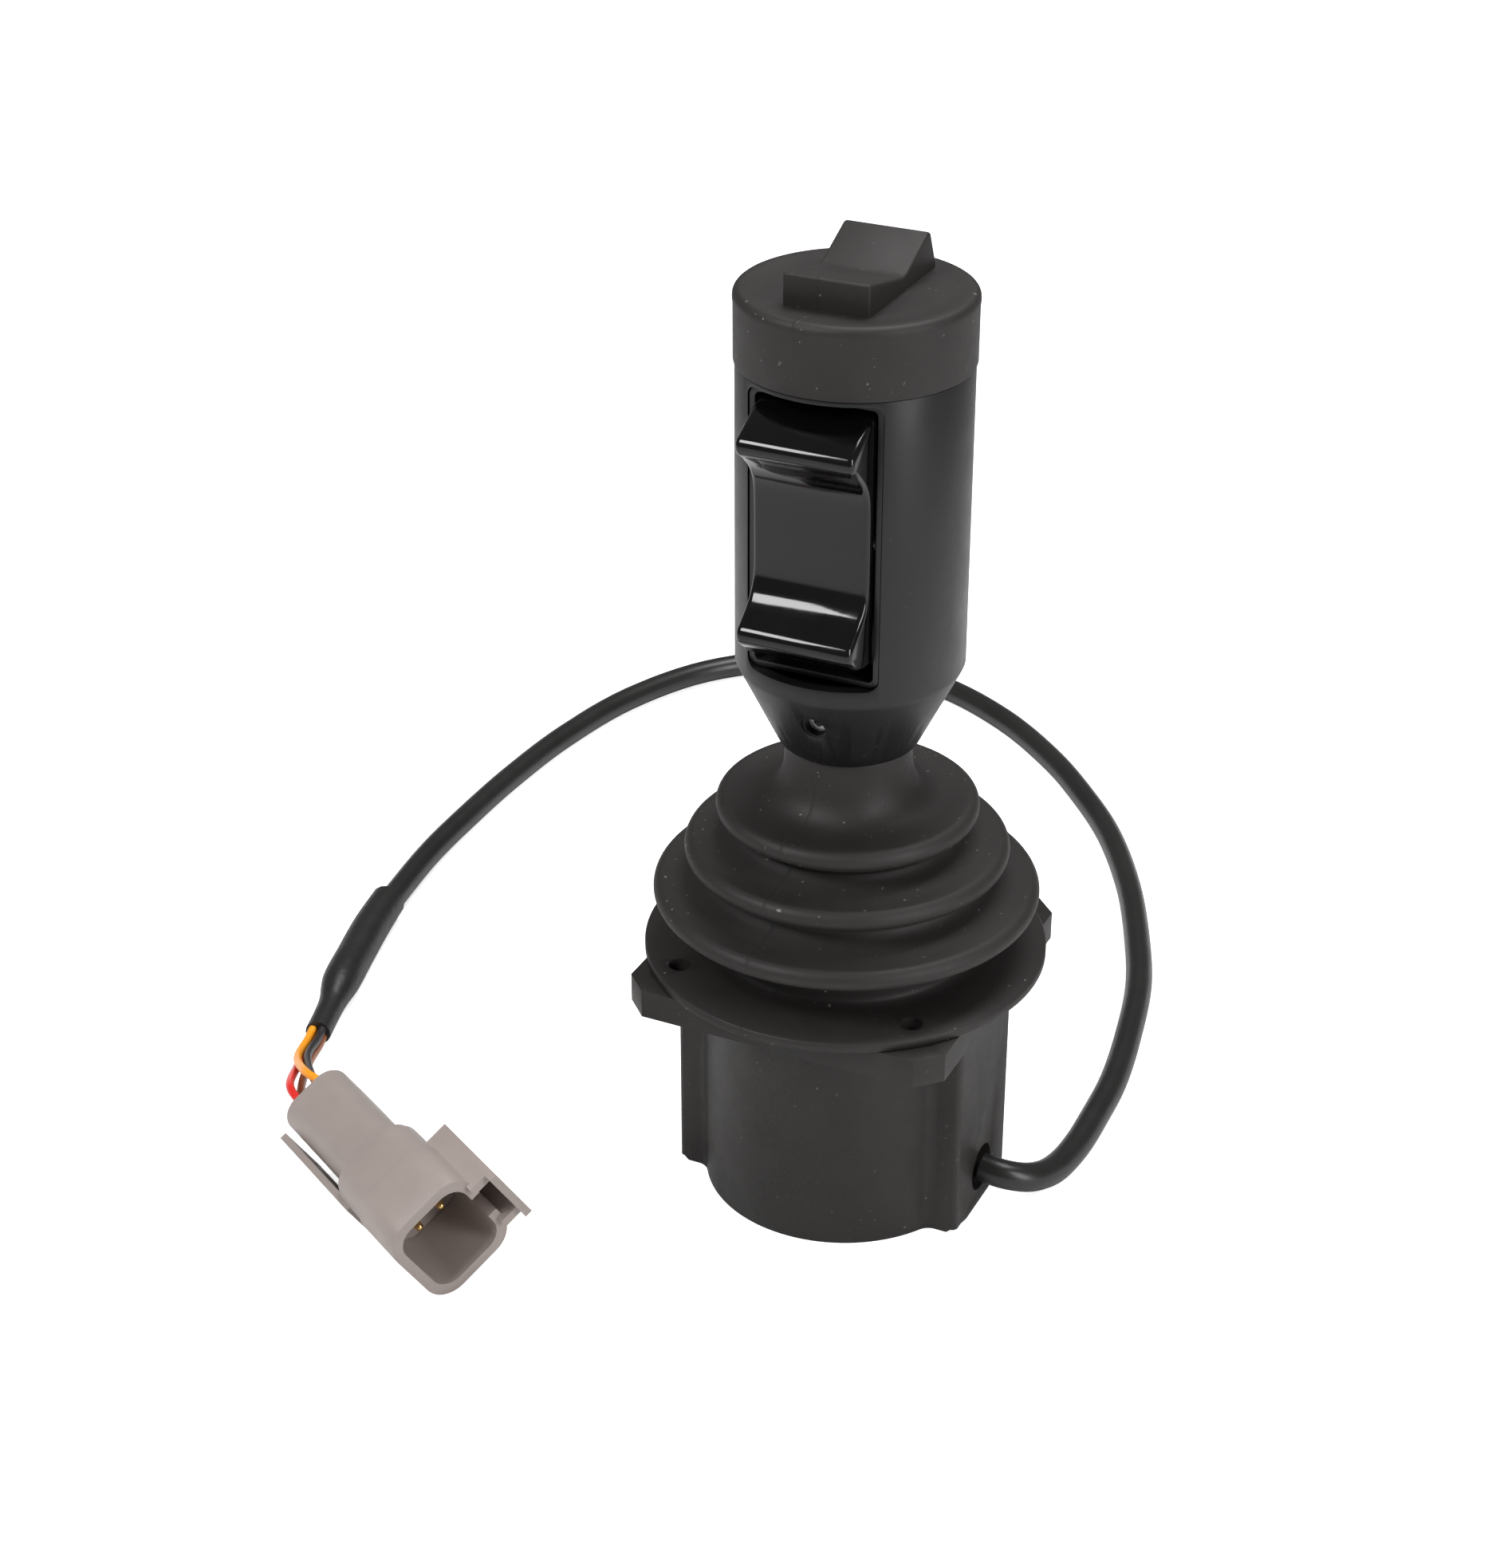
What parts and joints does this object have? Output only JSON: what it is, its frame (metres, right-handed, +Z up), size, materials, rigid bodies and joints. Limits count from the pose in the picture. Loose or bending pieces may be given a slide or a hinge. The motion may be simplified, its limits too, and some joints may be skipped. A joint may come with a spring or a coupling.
{
  "type": "industrial joystick",
  "caption": "Two-axis spring-centred industrial joystick with a round grip, front and top rockers, rubber bellows, flange-mounted base and a lead with a sealed connector.",
  "frame": {"origin": "centre of the base's underside, on the surface that the base stands on", "axes": "+Z up along the lever at rest, -Y towards the front rocker, +X towards the lobe that the lead leaves by"},
  "size_m": [0.182, 0.281, 0.1885],
  "materials": {
    "housing_plastic": "moulded, satin",
    "boot_rubber": "matte moulded rubber",
    "grip_anodised": "black anodised, satin",
    "rocker_gloss": "polished black",
    "cable_jacket": "extruded PVC, satin",
    "sleeve_black": "heat-shrunk, satin",
    "wire_orange": "satin",
    "wire_red": "satin",
    "wire_black": "satin",
    "wire_brown": "satin",
    "connector_grey": "moulded, satin",
    "contact_gold": "gold plated",
    "seal_rubber": "silicone",
    "steel": "zinc plated",
    "board_green": "solder mask",
    "chip_black": "epoxy",
    "inner_plastic": "moulded",
    "alloy": "turned",
    "plunger_ivory": "acetal"
  },
  "bodies": {
    "base": {"base_housing": "housing_plastic", "bottom_cover": "housing_plastic", "cover_screws": "steel", "sensor_board": "board_green", "board_parts": "chip_black", "board_screws": "steel", "cable_tie": "inner_plastic", "cable_grommet": "boot_rubber", "bellows": "boot_rubber", "cable": "cable_jacket", "shrink_sleeve": "sleeve_black", "orange_wire": "wire_orange", "red_wire": "wire_red", "black_wire": "wire_black", "brown_wire": "wire_brown", "connector_body": "connector_grey", "connector_wedge": "connector_grey", "contact_pins": "contact_gold", "rear_seal": "seal_rubber"},
    "gimbal": {"gimbal_ring": "alloy", "ring_pins": "steel", "ring_springs": "steel"},
    "lever": {"lever_shaft": "alloy", "hub_pins": "steel", "hub_springs": "steel", "magnet": "steel", "grip_body": "grip_anodised", "set_screw": "steel", "window_bezel": "inner_plastic", "rocker_pin": "steel", "switch_body": "inner_plastic", "switch_chassis": "inner_plastic", "top_switch_body": "inner_plastic", "top_pin": "steel", "grip_cap": "boot_rubber"},
    "front_rocker": {"front_rocker": "rocker_gloss"},
    "upper_plunger": {"upper_plunger": "plunger_ivory"},
    "lower_plunger": {"lower_plunger": "plunger_ivory"},
    "top_rocker": {"top_rocker": "boot_rubber"}
  },
  "joints": [
    {"name": "tilt_fore_aft", "type": "hinge", "parent": "base", "child": "gimbal", "pos_m": [0, 0, 0.043], "axis": [1, 0, 0], "range_deg": [-18, 18], "stiffness_Nm_per_rad": 2, "deforming": ["bellows"]},
    {"name": "tilt_side", "type": "hinge", "parent": "gimbal", "child": "lever", "pos_m": [0, 0, 0.043], "axis": [0, 1, 0], "range_deg": [-18, 18], "stiffness_Nm_per_rad": 2, "deforming": ["bellows"]},
    {"name": "front_rocker_tilt", "type": "hinge", "parent": "lever", "child": "front_rocker", "pos_m": [0, -0.014, 0.142], "axis": [1, 0, 0], "range_deg": [-8, 8], "stiffness_Nm_per_rad": 0.3},
    {"name": "upper_plunger_slide", "type": "slide", "parent": "lever", "child": "upper_plunger", "axis": [0, 1, 0], "range_m": [-0.002, 0.002]},
    {"name": "lower_plunger_slide", "type": "slide", "parent": "lever", "child": "lower_plunger", "axis": [0, 1, 0], "range_m": [-0.002, 0.002]},
    {"name": "top_rocker_tilt", "type": "hinge", "parent": "lever", "child": "top_rocker", "pos_m": [0, 0.0015, 0.178], "axis": [1, 0, 0], "range_deg": [-5, 5], "stiffness_Nm_per_rad": 0.2}
  ],
  "couplings": [
    {"joint": "upper_plunger_slide", "follows": "front_rocker_tilt", "m_per_rad": -0.014},
    {"joint": "lower_plunger_slide", "follows": "front_rocker_tilt", "m_per_rad": 0.014}
  ]
}
